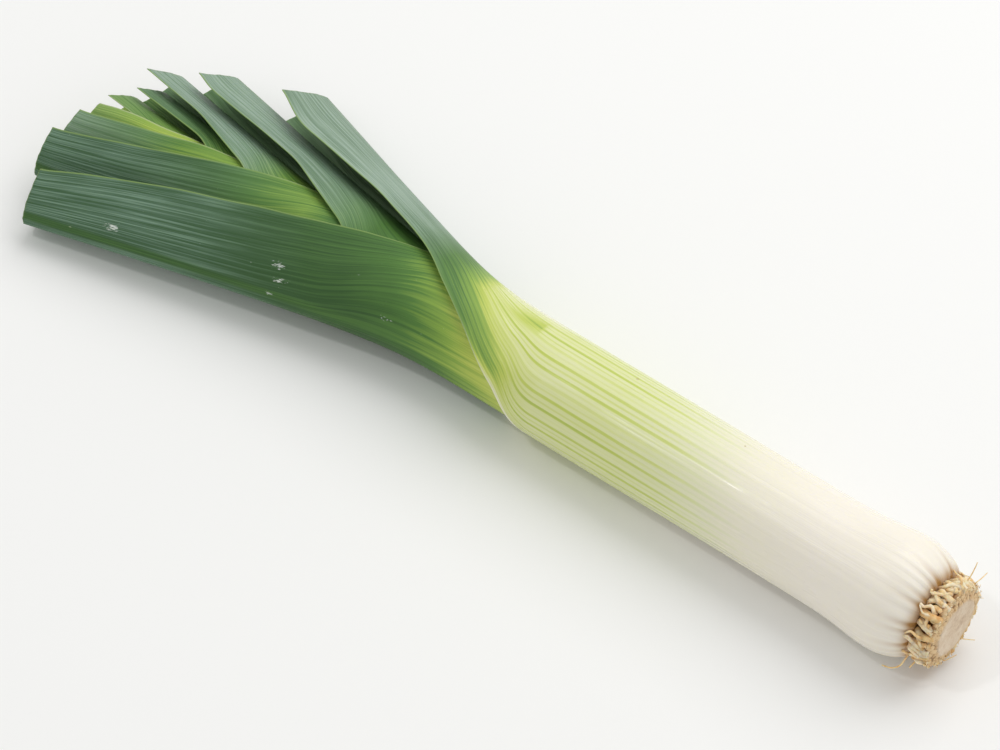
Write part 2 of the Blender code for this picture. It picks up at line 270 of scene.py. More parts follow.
def keel_reach(i, s):
    """How far leaf i's keel stands from the shaft's axis: its sheath's radius, and the bend away from it."""
    leaf = LEAVES[i]
    return sheath_radius(i, s) + leaf.slope * bend_out(s - leaf.leaves_at * MM, BEND_WIDTH)


def back_reach(i, s):
    """How far leaf i's loop reaches on the side away from its keel, just clear of the next leaf's keel."""
    if i + 1 < len(LEAVES):
        return keel_reach(i + 1, s) + sheath_radius(i, s) - sheath_radius(i + 1, s)
    return sheath_radius(i, s)


def throat_of(i):
    """Where leaf i's sheath opens."""
    return (LEAVES[i].margins[0][0] - MARGIN_SMOOTHING) * MM


def margin_angles(i, s):
    """Angles round the loop from the keel to the upper and the lower margin.

    They make up a whole turn up to the throat. Past it the lower one follows the upper one's curve from
    where that has come down to the angle that the lower one starts with. Towards the tip it takes on its
    own share of the upper one.
    """
    places, angles = (np.array(values, float) for values in zip(*LEAVES[i].margins))
    lower_start = 360 - angles[0]
    lead = np.interp(-lower_start, -angles, places) - places[0]
    shifts = np.linspace(-MARGIN_SMOOTHING, MARGIN_SMOOTHING, 9)
    upper = np.mean([np.interp(s / MM + d, places, angles) for d in shifts], axis=0)
    lower = np.mean([np.interp(s / MM + d + lead, places, angles) for d in shifts], axis=0)
    tip = ramp((s / MM - LEAVES[i].keel_end) / TIP_REACH + 1)
    lower = np.minimum(lower, lower_start) * (1 + (LEAVES[i].lower_share - 1) * tip)
    return np.radians(upper), np.radians(lower)


def axis_height(s):
    """Height of the shaft's axis: the leek lies on its bulb and on its neck. The fan droops further."""
    lean = (BULB_AXIS_HEIGHT - NECK_AXIS_HEIGHT) / (NECK_AT - BULB_AT)
    shaft = BULB_AXIS_HEIGHT - lean * (np.minimum(s, NECK_AT) - BULB_AT)
    return shaft - FAN_DROOP * ramp((s - FAN_START) / (2 * FAN_LENGTH))


def loop_point(i, s, angle, inset=0.0):
    """A point of leaf i's loop at distance s, angle from its keel, inset towards the inside.

    Across, it is the reach on that side times cos(angle). Up and down it is H times sin(angle) to a power
    that is 1 in the shaft, which makes a circle, and more in the fan, which makes a lens with sharp keels.
    The fan's sides droop to the table as the square of the distance from the axis.
    """
    share = fan_share(s)
    reach = np.where(np.cos(angle) > 0, keel_reach(i, s), back_reach(i, s)) - inset
    across = reach * np.cos(angle)
    half_height = sheath_radius(i, s, inset) + share * (FAN_RISE + FAN_PITCH_LOSS * i * LEAF_PITCH)
    lift = np.sign(np.sin(angle)) * np.abs(np.sin(angle)) ** (1 + 2 * KEEL_SHARPNESS * share)
    flattening = np.where(lift < 0, 1 - UNDERSIDE_FLATTENING * share, 1)
    droop = SIDE_DROOP * share * (across / SIDE_DROOP_AT) ** 2
    x = ROOT_END_X - s
    y = AXIS_Y + LEAVES[i].side * across
    z = axis_height(s) + half_height * lift * flattening - droop
    return np.stack([x + 0 * y, y, z], axis=-1)


def waves(x, seed, periods, size):
    """A smooth random wave along x, up to about size: a sum of sines with these periods and seeded phases."""
    phases = np.random.default_rng(seed).uniform(0, 2 * math.pi, len(periods))
    total = sum(np.sin(2 * math.pi * x / period + phase) for period, phase in zip(periods, phases))
    return size * total / math.sqrt(len(periods))


def clear_of_cover(i):
    """Where leaf i's upper margin comes out from under the leaf round it, which climbs the other side."""
    if i == 0:
        return throat_of(0)
    s = np.linspace(throat_of(i), LEAVES[i].keel_end * MM, 400)
    open_angle = margin_angles(i, s)[0] + margin_angles(i - 1, s)[0]
    return np.interp(-math.pi, -open_angle, s)


def leaf_rows(i):
    """Distances s of leaf i's rows: wide apart in the hidden sheath, close together where it shows."""
    base = base_of(i)
    end = LEAVES[i].keel_end * MM
    if i == 0:
        bulb_end, neck = 46 * MM, 180 * MM
        stretches = ((base, bulb_end, 0.75 * MM), (bulb_end, neck, 2.2 * MM), (neck, end, 1.6 * MM))
    else:
        bulb_end, shows = 30 * MM, clear_of_cover(i) - 35 * MM
        stretches = ((base, bulb_end, 2 * MM), (bulb_end, shows, 9 * MM), (shows, end, 1.1 * MM))
    rows = [np.arange(start, stop, step) for start, stop, step in stretches]
    rows = np.append(np.concatenate(rows), end)
    closest = 0.3 * MM
    return rows[np.append(np.diff(rows) > closest, True)]


def leaf_columns(half):
    """u of leaf columns, closer together towards the margins."""
    t = np.linspace(-1, 1, 2 * half + 1)
    return t * (1 + 0.3 * (1 - t * t))


def vein_share(i, s, angle):
    """Which of leaf i's veins runs through a place: 0 is the keel, and -1 and 1 are the margins.

    Veins run straight up the sheath. Past the throat those near a margin turn with it and those near the
    keel run on. With the angle a, the margin's angle M and its angle A in the sheath the share is
    a/A (1 + (A/M - 1) (a/M)^n), where n falls from VEIN_POWER to 0, which makes it a/M.
    """
    upper, lower = margin_angles(i, s)
    first = math.radians(LEAVES[i].margins[0][1])
    start = np.where(angle > 0, first, 2 * math.pi - first)
    margin = np.where(angle > 0, upper, lower)
    share = np.clip(np.abs(angle) / margin, 0, 1)
    power = VEIN_POWER * (1 - ramp((s - throat_of(i)) / VEIN_TURN))
    return np.sign(angle) * share * margin / start * (1 + (start / margin - 1) * share**power)


def pleat_height(i, vein):
    """The gathers round leaf i's base, from 0 in a furrow to 1 on a crest, unevenly spaced."""
    turn = math.pi * vein
    phase = 2 * PLEATS_ROUND_HALF * turn + 1.8 * np.sin(3 * turn + 1) + 1.4 * np.sin(7 * turn + 2 + i)
    return 0.5 + 0.5 * np.cos(phase)


def relief(i, s, vein, angle):
    """How far leaf i's surface stands out from its smooth loop, in metres.

    Pleats gather the outer sheath at the root plate. Everywhere there are low ribs along the veins and
    slow dents. The outermost leaf is hollowed where it folds away from the shaft. The leaves on its side
    lift a little towards their upper margins.
    """
    turn = math.pi * vein
    from_base = s - base_of(i)
    strength = 0.7 + 0.3 * np.sin(5 * turn + i) * np.sin(2 * turn)
    gathered = sum(height * bell(from_base, reach * MM) for height, reach in PLEATS)
    raised = pleat_height(i, vein) * strength * gathered
    share = fan_share(s)
    ribs = FINE_RIBS[0] * np.cos(19 * turn + 0.4) * (0.3 + 0.5 * share) + FINE_RIBS[1] * np.cos(43 * turn + i)
    broad = BROAD_RIBS[0] * np.sin(7 * turn + 2.1 + i) + BROAD_RIBS[1] * np.sin(11 * turn + i)
    ribs += share * broad
    slow = DENT * np.sin(2 * turn + s / (60 * MM)) * np.sin(s / (27 * MM) + 1)
    out = raised + ribs + slow
    if i == 0:
        hollow_s, hollow_angle = NECK_HOLLOW_AT
        hollow = bell(s - hollow_s * MM, 10 * MM) * bell(angle - math.radians(hollow_angle), 0.5)
        out = out - NECK_HOLLOW * hollow
    if LEAVES[i].side > 0:
        own = margin_angles(i, s)[0]
        outer = margin_angles(i - 2, s)[0] if i >= 2 else 0.5 * own
        outer = np.clip(outer, 0.4 * own, 0.85 * own)
        flap = np.clip((angle - outer) / (own - outer), 0, 1) ** FLAP_CURVE
        towards_tip = ramp((s - LEAVES[i].keel_end * MM) / (70 * MM) + 1)
        in_the_open = ramp((s - clear_of_cover(i)) / (35 * MM))
        out = out + FLAP_LIFT * flap * in_the_open * (1 - FLAP_LOSS_AT_TIP * towards_tip)
    return out * MM


def leaf_skin(i, rows, columns, depth):
    """Points of leaf i's skin at a depth under its outer face, and the s, angle and vein of each of them.

    The margins wave a little. The cut end slants from the keel to the margins and is slightly uneven: with
    t from 0 at the throat to 1 at the tip a row's s gains t^3 (slant |u| - 4 dip |u| (1 - |u|) + waves).
    """
    leaf = LEAVES[i]
    slant = (np.where(columns > 0, leaf.margin_end, leaf.lower_end) - leaf.keel_end) * MM
    dip = np.where(columns > 0, CUT_DIP, 0.0) if leaf.side > 0 else 0.0
    near_tip = np.clip((rows - throat_of(i)) / (rows[-1] - throat_of(i)), 0, 1)[:, None] ** 3
    across = np.abs(columns)[None, :]
    uneven = waves(columns[None, :], 40 + i, CUT_WAVES, CUT_UNEVENNESS * MM)
    s = rows[:, None] + near_tip * (slant * across - 4 * dip * across * (1 - across) + uneven)
    upper, lower = margin_angles(i, s)
    opened = ramp((s - throat_of(i)) / (25 * MM))
    upper = upper + opened * waves(s / MM, 60 + i, UPPER_MARGIN_WAVES[0], math.radians(UPPER_MARGIN_WAVES[1]))
    lower = lower + opened * waves(s / MM, 80 + i, LOWER_MARGIN_WAVES[0], math.radians(LOWER_MARGIN_WAVES[1]))
    angle = columns[None, :] * np.where(columns[None, :] > 0, upper, lower)
    vein = vein_share(i, s, angle)
    points = loop_point(i, s, angle, depth - relief(i, s, vein, angle))
    points[..., 2] = np.maximum(points[..., 2], FLAT_WALL * depth + 0 * s)
    return points, s, angle, vein


def lengths_across(points):
    """Distance along each row from its first point, in metres."""
    steps = np.linalg.norm(np.diff(points, axis=1), axis=-1)
    return np.concatenate([np.zeros((len(points), 1)), np.cumsum(steps, axis=1)], axis=1)


def quads(a, b, c, d):
    """Faces [m, 4] from four arrays of point numbers."""
    return np.stack([a.ravel(), b.ravel(), c.ravel(), d.ravel()], axis=1)


def new_piece(name, points, faces, material, replaced, fields=None, uv=None):
    """A mesh piece from points [n, 3] and quads [m, 4]. fields are values at points, and uv [m, 4, 2] is
    given at the corners of the faces. A quad that ends on its first point is a triangle."""
    used, index = np.unique(faces, return_inverse=True)
    index = index.reshape(faces.shape)
    sides = np.where(faces[:, 3] == faces[:, 0], 3, 4)
    keep = np.arange(4)[None, :] < sides[:, None]
    mesh = bpy.data.meshes.new(name)
    mesh.vertices.add(len(used))
    mesh.vertices.foreach_set("co", points[used].astype(np.float32).ravel())
    mesh.loops.add(int(sides.sum()))
    mesh.loops.foreach_set("vertex_index", index[keep].astype(np.int32))
    mesh.polygons.add(len(faces))
    starts = np.concatenate([[0], np.cumsum(sides)[:-1]])
    mesh.polygons.foreach_set("loop_start", starts.astype(np.int32))
    mesh.update(calc_edges=True)
    mesh.validate()
    mesh.polygons.foreach_set("use_smooth", np.ones(len(faces), bool))
    for key, values in (fields or {}).items():
        kind, field = ("FLOAT", "value") if values.ndim == 1 else ("FLOAT_VECTOR", "vector")
        attribute = mesh.attributes.new(key, kind, "POINT")
        attribute.data.foreach_set(field, values[used].astype(np.float32).ravel())
    if uv is not None:
        layer = mesh.uv_layers.new(name="UVMap")
        layer.data.foreach_set("uv", uv[keep].astype(np.float32).ravel())
    mesh.materials.append(material)
    piece = bpy.data.objects.new(name, mesh)
    bpy.context.scene.collection.objects.link(piece)
    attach(piece, "root")
    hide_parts(replaced)
    return piece


def slanted(i, s, angle):
    """The place along leaf i's lines of equal colour, in mm: s, slanted by the angle from the keel."""
    above = ramp((s - 150 * MM) / (40 * MM))
    degrees = np.degrees(angle)
    in_shaft = SHAFT_SLANT * (degrees - 90)
    if i == 0:
        degrees = np.maximum(degrees, FAR_SIDE_FROM)
    in_blade = LEAVES[i].green_slant * (degrees - 90)
    return s / MM + in_shaft + above * (in_blade - in_shaft)


def greenness(i, s, angle, from_margin):
    """How green leaf i is. On the outermost leaf the margin pales as it leaves the shaft, and at the neck a
    lime patch lies beside a painted highlight, a paler band along the top edge on the far side."""
    green = np.interp(slanted(i, s, angle), *zip(*LEAVES[i].greens_with_painted_shade))
    if i == 0:
        green = np.minimum(green, np.interp(s / MM, *zip(*NECK_GREENS)))
        green = green - PALE_MARGIN * bell(from_margin, 2.2 * MM) * (1 - ramp((s - 195 * MM) / (30 * MM)))
        patch = ramp((s - 192 * MM) / (2.5 * MM)) * bell(np.maximum(s - 198 * MM, 0), 12 * MM)
        green = green + LIME_PATCH * patch * bell(angle - math.radians(LIME_PATCH_ANGLE), math.radians(11))
        # Painted highlight along the neck's top edge.
        rim_highlight = ramp((s - 182 * MM) / (14 * MM)) * (1 - ramp((s - 217 * MM) / (7 * MM)))
        green = green - RIM_HIGHLIGHT * rim_highlight * bell(angle - math.radians(RIM_HIGHLIGHT_ANGLE), math.radians(17))
    return green


def stain_and_furrow_shade(i, s, vein):
    """How brown leaf i is at its base: tan staining, most in the furrows between the pleats, where the brown
    is partly painted shade.
    """
    from_base = s - base_of(i)
    furrow = (1 - pleat_height(i, vein)) * (0.5 + 0.5 * np.sin(13 * math.pi * vein + 4))
    # The brown in the furrows is partly staining and partly painted shade.
    furrow_stain_and_shade = 0.5 * bell(from_base, 6 * MM) + 0.12 * bell(from_base, 14 * MM)
    return bell(from_base, 2.4 * MM) * 0.75 + furrow * furrow_stain_and_shade


def scuffs(i, s, angle):
    """Where leaf i's skin is scuffed: soft round spots."""
    scuffed = 0 * s
    for place, turn, size in SCUFFS if i == SCUFFED_LEAF else ():
        near = bell(s - place * MM, size * MM) * bell(angle - math.radians(turn), math.radians(size))
        scuffed = scuffed + near
    return scuffed


def leaf_fields(i, s, angle, vein, arc, from_margin):
    """What leaf i's material reads at each point: its colours' amounts, and distances in millimetres."""
    keel = arc[:, arc.shape[1] // 2, None]
    return {
        "green": greenness(i, s, angle, from_margin),
        "waxed": np.interp(slanted(i, s, angle), *zip(*LEAVES[i].blooms_with_painted_light)),
        "stain_and_shade": stain_and_furrow_shade(i, s, vein),
        "scuffed": scuffs(i, s, angle),
        "from_margin": from_margin / MM,
        "from_stripe": np.abs((arc - keel) / MM - KEEL_STRIPE_AT),
        "from_tip": (s[-1:] - s) / MM,
    }


def sheet_faces(rows, columns, is_tube):
    """Quads of a sheet of two skins, numbered row by row, first the outer and then the inner one.

    After the skins come the strips that join them at the base, at the tip, and at both margins past the
    rows that are closed to a tube.
    """
    front = np.arange(rows * columns).reshape(rows, columns)
    back = front + front.size
    here, after = slice(None, -1), slice(1, None)
    is_open = ~(is_tube[1:] & is_tube[:-1])
    lower_front, lower_back = front[:, 0], back[:, 0]
    upper_front, upper_back = front[:, -1], back[:, -1]
    return np.concatenate([
        quads(front[here, here], front[after, here], front[after, after], front[here, after]),
        quads(back[here, here], back[here, after], back[after, after], back[after, here]),
        quads(front[0, here], front[0, after], back[0, after], back[0, here]),
        quads(front[-1, here], back[-1, here], back[-1, after], front[-1, after]),
        quads(lower_front[here], lower_back[here], lower_back[after], lower_front[after])[is_open],
        quads(upper_front[here], upper_front[after], upper_back[after], upper_back[here])[is_open],
    ])


def leaf_piece(i, material):
    """Leaf i as a closed sheet: outer and inner skins a thickness apart, joined at base, tip and margins.

    The sheath's first and last column are one, which closes it to a tube. The sheet thins to each margin
    as the root of the distance from it.
    """
    rows = leaf_rows(i)
    columns = leaf_columns(LEAVES[i].half_columns)
    count = len(columns)
    outer, s, angle, vein = leaf_skin(i, rows, columns, 0.0)
    arc = lengths_across(outer)
    is_tube = rows <= throat_of(i) + 0.0001 * MM
    from_margin = np.minimum(arc, arc[:, -1:] - arc)
    from_margin[is_tube] = 1.0  # far from any margin
    fan = fan_share(rows)[:, None]
    thickness = SHEATH_THICKNESS + fan * (BLADE_THICKNESS - SHEATH_THICKNESS)
    pinch = sheath_radius(i, rows) / sheath_radius(i, rows + SHOULDER_LENGTH)
    thickness = thickness * np.clip(pinch, BASE_PINCH, 1)[:, None]
    taper = np.sqrt(np.clip(from_margin / MARGIN_TAPER, 0, 1))
    inner = leaf_skin(i, rows, columns, MARGIN_THICKNESS + (thickness - MARGIN_THICKNESS) * taper)[0]

    faces = sheet_faces(len(rows), count, is_tube)
    if LEAVES[i].side < 0:
        faces = faces[:, ::-1]
    corner = faces % s.size
    on_seam = is_tube[corner // count] & (corner % count == count - 1)
    fields = leaf_fields(i, s, angle, vein, arc, from_margin)
    fields = {key: np.tile(values.ravel(), 2) for key, values in fields.items()}
    fields["inside"] = np.repeat([0.0, 1.0], s.size)
    around = SHAFT_RADIUS * np.cos(math.pi * vein), SHAFT_RADIUS * np.sin(math.pi * vein)
    fields["place"] = np.tile(np.stack([*around, s], axis=-1).reshape(-1, 3), (2, 1))
    uv = np.stack([vein, s / (100 * MM)], axis=-1).reshape(-1, 2)[corner]
    points = np.concatenate([outer.reshape(-1, 3), inner.reshape(-1, 3)])
    faces = faces - (count - 1) * on_seam
    return new_piece(f"blade_{i + 1:02d}", points, faces, material, f"leaf_{i + 1:02d}", fields, uv)


def shaft_place(s, radius, turn):
    """The point at distance s and radius, in mm, at a turn in radians from +Y to +Z."""
    y = AXIS_Y + radius * MM * np.cos(turn)
    z = BULB_AXIS_HEIGHT + radius * MM * np.sin(turn)
    return np.stack([ROOT_END_X - s * MM, y, z], axis=-1)


def tubes(paths, radii, sides):
    """Closed tubes along paths [k, n, 3] with radii [k, n]: points, quads, and how far along each point is.

    A ring of points stands square to each path at each of its points. Both ends are capped with a fan.
    """
    k, n = radii.shape
    along = np.gradient(paths, axis=1)
    along /= np.linalg.norm(along, axis=-1, keepdims=True)
    side = np.cross(along, (0.31, 0.52, 0.80))
    side /= np.linalg.norm(side, axis=-1, keepdims=True)
    other = np.cross(along, side)
    turn = 2 * math.pi * np.arange(sides) / sides
    ring = np.cos(turn)[:, None] * side[:, :, None] + np.sin(turn)[:, None] * other[:, :, None]
    rings = paths[:, :, None] + radii[..., None, None] * ring
    points = np.concatenate([rings.reshape(k, -1, 3), paths[:, :1], paths[:, -1:]], axis=1)
    each = np.arange(n * sides).reshape(n, sides)
    after = np.roll(each, -1, axis=1)
    first, last = np.full(sides, n * sides), np.full(sides, n * sides + 1)
    faces = np.concatenate([
        quads(each[:-1], after[:-1], after[1:], each[1:]),
        quads(first, after[0], each[0], first),
        quads(last, each[-1], after[-1], last),
    ])
    faces = (faces[None] + (np.arange(k) * points.shape[1])[:, None, None]).reshape(-1, 4)
    progress = np.concatenate([np.repeat(np.linspace(0, 1, n), sides), [0, 1]])
    return points.reshape(-1, 3), faces, np.tile(progress, k)


def smooth_path(knots, count):
    """count points on the Catmull-Rom curve through the knots, which are [..., n, 3]."""
    knots = np.asarray(knots, float)
    before = 2 * knots[..., :1, :] - knots[..., 1:2, :]
    beyond = 2 * knots[..., -1:, :] - knots[..., -2:-1, :]
    ends = np.concatenate([before, knots, beyond], axis=-2)
    t = np.linspace(0, knots.shape[-2] - 1, count)
    k = np.minimum(t.astype(int), knots.shape[-2] - 2)
    t = (t - k)[:, None]
    a, b, c, d = (ends[..., k + n, :] for n in range(4))
    return 0.5 * (2 * b + (c - a) * t + (2 * a - 5 * b + 4 * c - d) * t**2 + (3 * b - a - 3 * c + d) * t**3)


def cut_face_piece(material):
    """The sawn plate, the cut roots packed round it, and the plate's flank and dome behind them.

    It is a turned surface from the middle of the face out to the rim and back to the axis. The face is
    dished by FACE_DISH. Outside it the surface slopes back, and each cut root raises a round bump on it:
    the root of 1 less the square of the distance to its middle over its radius.
    """
    random = np.random.default_rng(3)
    root_turn = 2 * math.pi * (np.arange(CUT_ROOTS) + random.uniform(-0.4, 0.4, CUT_ROOTS)) / CUT_ROOTS
    root_radius = random.uniform(FACE_RADIUS + 0.5, RIM_RADIUS, CUT_ROOTS)
    root_rise = random.uniform(0.25, 1.0, CUT_ROOTS)
    front = np.linspace(0, RIM_RADIUS, 76)
    back_radius, back_s = np.array(PLATE_BACK).T
    turn = np.linspace(0, 2 * math.pi, 301)[:-1]
    radius, turn = np.meshgrid(np.append(front, back_radius), turn, indexing="ij")
    across = radius[..., None] * np.cos(turn[..., None]) - root_radius * np.cos(root_turn)
    up = radius[..., None] * np.sin(turn[..., None]) - root_radius * np.sin(root_turn)
    away = np.hypot(across, up)
    nearest = away.argmin(axis=-1)
    bump = np.sqrt(np.clip(1 - (away.min(axis=-1) / CUT_ROOT_RADIUS) ** 2, 0, 1)) * root_rise[nearest]
    wander = 0.5 * np.sin(3 * turn + 1) + 0.3 * np.sin(7 * turn) + 0.25 * np.sin(13 * turn + 2)
    outside = ramp((radius - FACE_RADIUS - 0.6 * wander) / 1.8)
    dished = FACE_DISH * (1 - (radius / FACE_RADIUS) ** 2) * (radius < FACE_RADIUS)
    s = dished + outside * (FACE_DISH + RIM_SLOPE * (radius - FACE_RADIUS) - CUT_ROOT_RISE * bump)
    s[len(front):] = back_s[:, None]
    radius = radius * (1 + ramp((radius - 14) / 3) * (0.03 * wander + 0.045 * bump - 0.03))
    points = shaft_place(s, radius, turn)
    row = np.arange(radius.size).reshape(radius.shape)
    row[0] = row[0, 0]
    row[-1] = row[-1, 0]
    after = np.roll(row, -1, axis=1)
    faces = np.concatenate([
        quads(row[0], row[1], after[1], row[0]),
        quads(row[1:-2], row[2:-1], after[2:-1], after[1:-2]),
        quads(row[-1], after[-2], row[-2], row[-1]),
    ])
    hidden = np.zeros(radius.shape)
    hidden[len(front):] = 1.0
    fields = {"rim": outside, "raised": bump, "hidden": hidden, "tone": root_rise[nearest]}
    fields = {key: values.ravel() for key, values in fields.items()}
    return new_piece("cut_face", points.reshape(-1, 3), faces, material, "root_plate", fields)


def tube_piece(name, paths, radii, sides, tones, material):
    """Closed tubes as one piece, each with a tone of its own."""
    points, faces, progress = tubes(np.array(paths), np.array(radii), sides)
    fields = {"along": progress, "tone": np.repeat(tones, len(points) // len(paths))}
    return new_piece(name, points, faces, material, "root_plate", fields)


def stubs(random, count, knots, swing, thick):
    """Paths and radii of cut roots. knots are pairs of ranges, of s and of radius in mm, that each root
    draws its own points from. It drifts sideways by up to swing radians from each point to the next."""
    s = np.stack([random.uniform(*s_range, count) for s_range, _ in knots], axis=1)
    radius = np.stack([random.uniform(*r_range, count) for _, r_range in knots], axis=1)
    turn = 2 * math.pi * (np.arange(count) + random.uniform(-0.4, 0.4, count)) / count
    drift = random.uniform(-swing, swing, (count, len(knots))).cumsum(axis=1)
    paths = smooth_path(shaft_place(s, radius, turn[:, None] + drift), 12)
    wrinkled = 1 + 0.13 * random.uniform(-1, 1, (count, 12))
    return paths, wrinkled * random.uniform(*thick, (count, 1)) * MM


def root_stubs_piece(material):
    """The cut roots behind the rim, which come out under the leaves and bend forward to the cut."""
    random = np.random.default_rng(11)
    packed = stubs(random, PACKED_STUBS, (
        ((8.6, 10.2), (12.6, 13.4)), ((7.2, 8.8), (14.6, 16.4)), ((4.6, 6.0), (15.9, 17.3)),
        ((2.4, 3.4), (15.6, 17.0)), ((1.2, 2.0), (14.6, 16.2)),
    ), 0.06, (0.95, 1.5))
    loose = stubs(random, LOOSE_STUBS, (
        ((7.5, 10.6), (13.4, 14.6)), ((5.8, 9.4), (15.6, 17.2)), ((4.0, 6.5), (16.6, 17.9)),
        ((2.2, 5.0), (16.2, 17.6)),
    ), 0.14, (0.5, 0.95))
    paths, radii = (np.concatenate(parts) for parts in zip(packed, loose))
    return tube_piece("root_stubs", paths, radii, 8, random.uniform(0, 1, len(paths)), material)


def curled_stubs_piece(material):
    """Longer stubs at the outside, which hook back towards the leaves."""
    random = np.random.default_rng(5)
    paths, radii = stubs(random, CURLED_STUBS, (
        ((4.0, 5.4), (14.2, 15.0)), ((3.4, 4.6), (16.8, 17.6)), ((5.4, 7.0), (17.6, 18.3)),
        ((8.0, 9.6), (17.4, 18.2)), ((9.4, 11.2), (17.9, 18.7)),
    ), 0.13, (0.5, 0.95))
    radii = radii * np.linspace(1.1, 0.55, radii.shape[1])
    return tube_piece("curled_stubs", paths, radii, 8, random.uniform(0.3, 1, len(paths)), material)


def rootlets_piece(material):
    """The thin rootlets that stick out, tapering along smooth curves."""
    count = 24
    knots = [[shaft_place(s, radius, math.radians(turn)) for s, radius, turn in route] for route in ROOTLETS]
    paths = [smooth_path(route, count) for route in knots]
    radii = np.array(ROOTLET_RADII)[:, None] * np.linspace(1, 0.62, count)[None, :] * MM
    return tube_piece("rootlets", paths, radii, 8, np.full(len(paths), 0.25), material)


def fibres_piece(material):
    """Short fibres that fringe the cut, each bent a little to one side."""
    random = np.random.default_rng(23)
    each = (FIBRES, 1)
    turn = random.uniform(0, 2 * math.pi, each)
    start = random.uniform(15.0, 17.2, each)
    length = random.uniform(0.6, 2.0, each) * np.array([0, 0.5, 1])
    lean = random.uniform(-0.5, 0.7, each)
    swing = random.uniform(-0.09, 0.09, each) * np.array([0, 0.4, 1])
    s = random.uniform(0.8, 2.4, each)
    paths = shaft_place(s - lean * length, start + (1 - np.abs(lean)) * length, turn + swing)
    radii = np.tile(np.array([0.2, 0.16, 0.08]) * MM, each)
    return tube_piece("fibres", paths, radii, 4, random.uniform(0.2, 1, FIBRES), material)


def linear(colour):
    """An sRGB hex colour as linear red, green, blue and 1."""
    value = np.array([int(colour[k:k + 2], 16) for k in (1, 3, 5)]) / 255
    value = np.where(value <= 0.04045, value / 12.92, ((value + 0.055) / 1.055) ** 2.4)
    return (*value.tolist(), 1.0)


def node(tree, kind, inputs=None, stops=None, **settings):
    """Adds a node. inputs are set, or linked where they are sockets. stops are a colour ramp's.

    Inputs that go by number: MapRange takes value 0 from 1..2 to 3..4, Math takes 0 and 1 and may add 2, and
    a colour Mix goes by share 0 from 6 to 7.
    """
    made = tree.nodes.new("ShaderNode" + kind)
    for name, value in settings.items():
        setattr(made, name, value)
    for name, value in (inputs or {}).items():
        if isinstance(value, bpy.types.NodeSocket):
            tree.links.new(value, made.inputs[name])
        else:
            made.inputs[name].default_value = value
    for k, (place, colour) in enumerate(stops or ()):
        stop = made.color_ramp.elements[k] if k < 2 else made.color_ramp.elements.new(place)
        stop.position = place
        stop.color = linear(colour)
    return made.outputs


def new_material(name, values):
    """A material with these constant values on its shader: (material, tree, shader node)."""
    material = bpy.data.materials.new(name)
    material.use_nodes = True
    tree = material.node_tree
    shader = tree.nodes["Principled BSDF"]
    for key, value in values.items():
        shader.inputs[key].default_value = value
    return material, tree, shader


LEAF_GREENS = (
    (0.0, "#F5EEDF"), (0.12, "#EFEAD3"), (0.28, "#E0E3B6"), (0.38, "#D8DE98"), (0.50, "#BFCC60"),
    (0.62, "#8AAA4A"), (0.78, "#557E3B"), (1.0, "#37592D"),
)
LEAF_VALUES = ("green", "waxed", "stain_and_shade", "scuffed", "from_margin", "from_stripe", "from_tip", "inside")
VEINS_ROUND_HALF = 17  # 3.9 mm apart on the shaft

# Patterns on the leaves: width round the leaf and length along it, in millimetres. The lines stand for the
# finest veins, which are under 0.5 mm apart and too fine to show. So are the skin's cells, the grain.
LINES = (1.0, 71.4)
STREAKS = (2.3256, 38.76)
PATCHES = (10.526, 37.6)
VEIN_STRENGTHS = (4.1667, 694.4)
FLECKS = (0.76923, 1.7094)
SPECK_SPACING = 13.333
GRAIN_WIDTH = 1.42857

# Patterns of the root end, in millimetres. Its pores are about 0.2 mm wide and are drawn wider to show.
MOTTLE_WIDTH = 5.263
PORE_WIDTH = 0.76923
WRINKLE_WIDTH = 1.92307


def along_veins(tree, place, pattern, detail=2.0, roughness=0.5):
    """Noise drawn out along the veins, from 0 to 1."""
    width, length = pattern
    stretched = node(tree, "Mapping", {"Vector": place, "Scale": (1, 1, width / length)})[0]
    look = {"Vector": stretched, "Scale": 1 / (width * MM), "Detail": detail, "Roughness": roughness}
    return node(tree, "TexNoise", look)[0]


def leaf_veins(tree, place, streaks):
    """The veins: a comb of lines round the leaf, and a fainter line between every two.

    Returned are the comb's own wave, the wave with a strength for each vein, and the veins' lines.
    """
    uv = node(tree, "UVMap", uv_map="UVMap")["UV"]
    vein_place = node(tree, "SeparateXYZ", {0: uv})["X"]
    wander = node(tree, "Math", {0: streaks, 1: 0.004, 2: vein_place}, operation="MULTIPLY_ADD")[0]
    phase = node(tree, "Math", {0: wander, 1: 2 * math.pi * VEINS_ROUND_HALF}, operation="MULTIPLY")[0]
    comb = node(tree, "Math", {0: phase}, operation="COSINE")[0]
    line = node(tree, "MapRange", {0: comb, 1: 0.35, 2: 0.95}, interpolation_type="SMOOTHSTEP")[0]
    between = node(tree, "MapRange", {0: comb, 1: -0.75, 2: -1.0, 4: 0.55})[0]
    line = node(tree, "Math", {0: line, 1: between}, operation="MAXIMUM")[0]
    strength = along_veins(tree, place, VEIN_STRENGTHS, detail=1.0)
    strength = node(tree, "MapRange", {0: strength, 1: 0.36, 2: 0.6, 3: 0.4, 4: 1.0})[0]
    line = node(tree, "Math", {0: line, 1: strength}, operation="MULTIPLY")[0]
    ribs = node(tree, "Math", {0: comb, 1: strength}, operation="MULTIPLY")[0]
    return comb, ribs, line


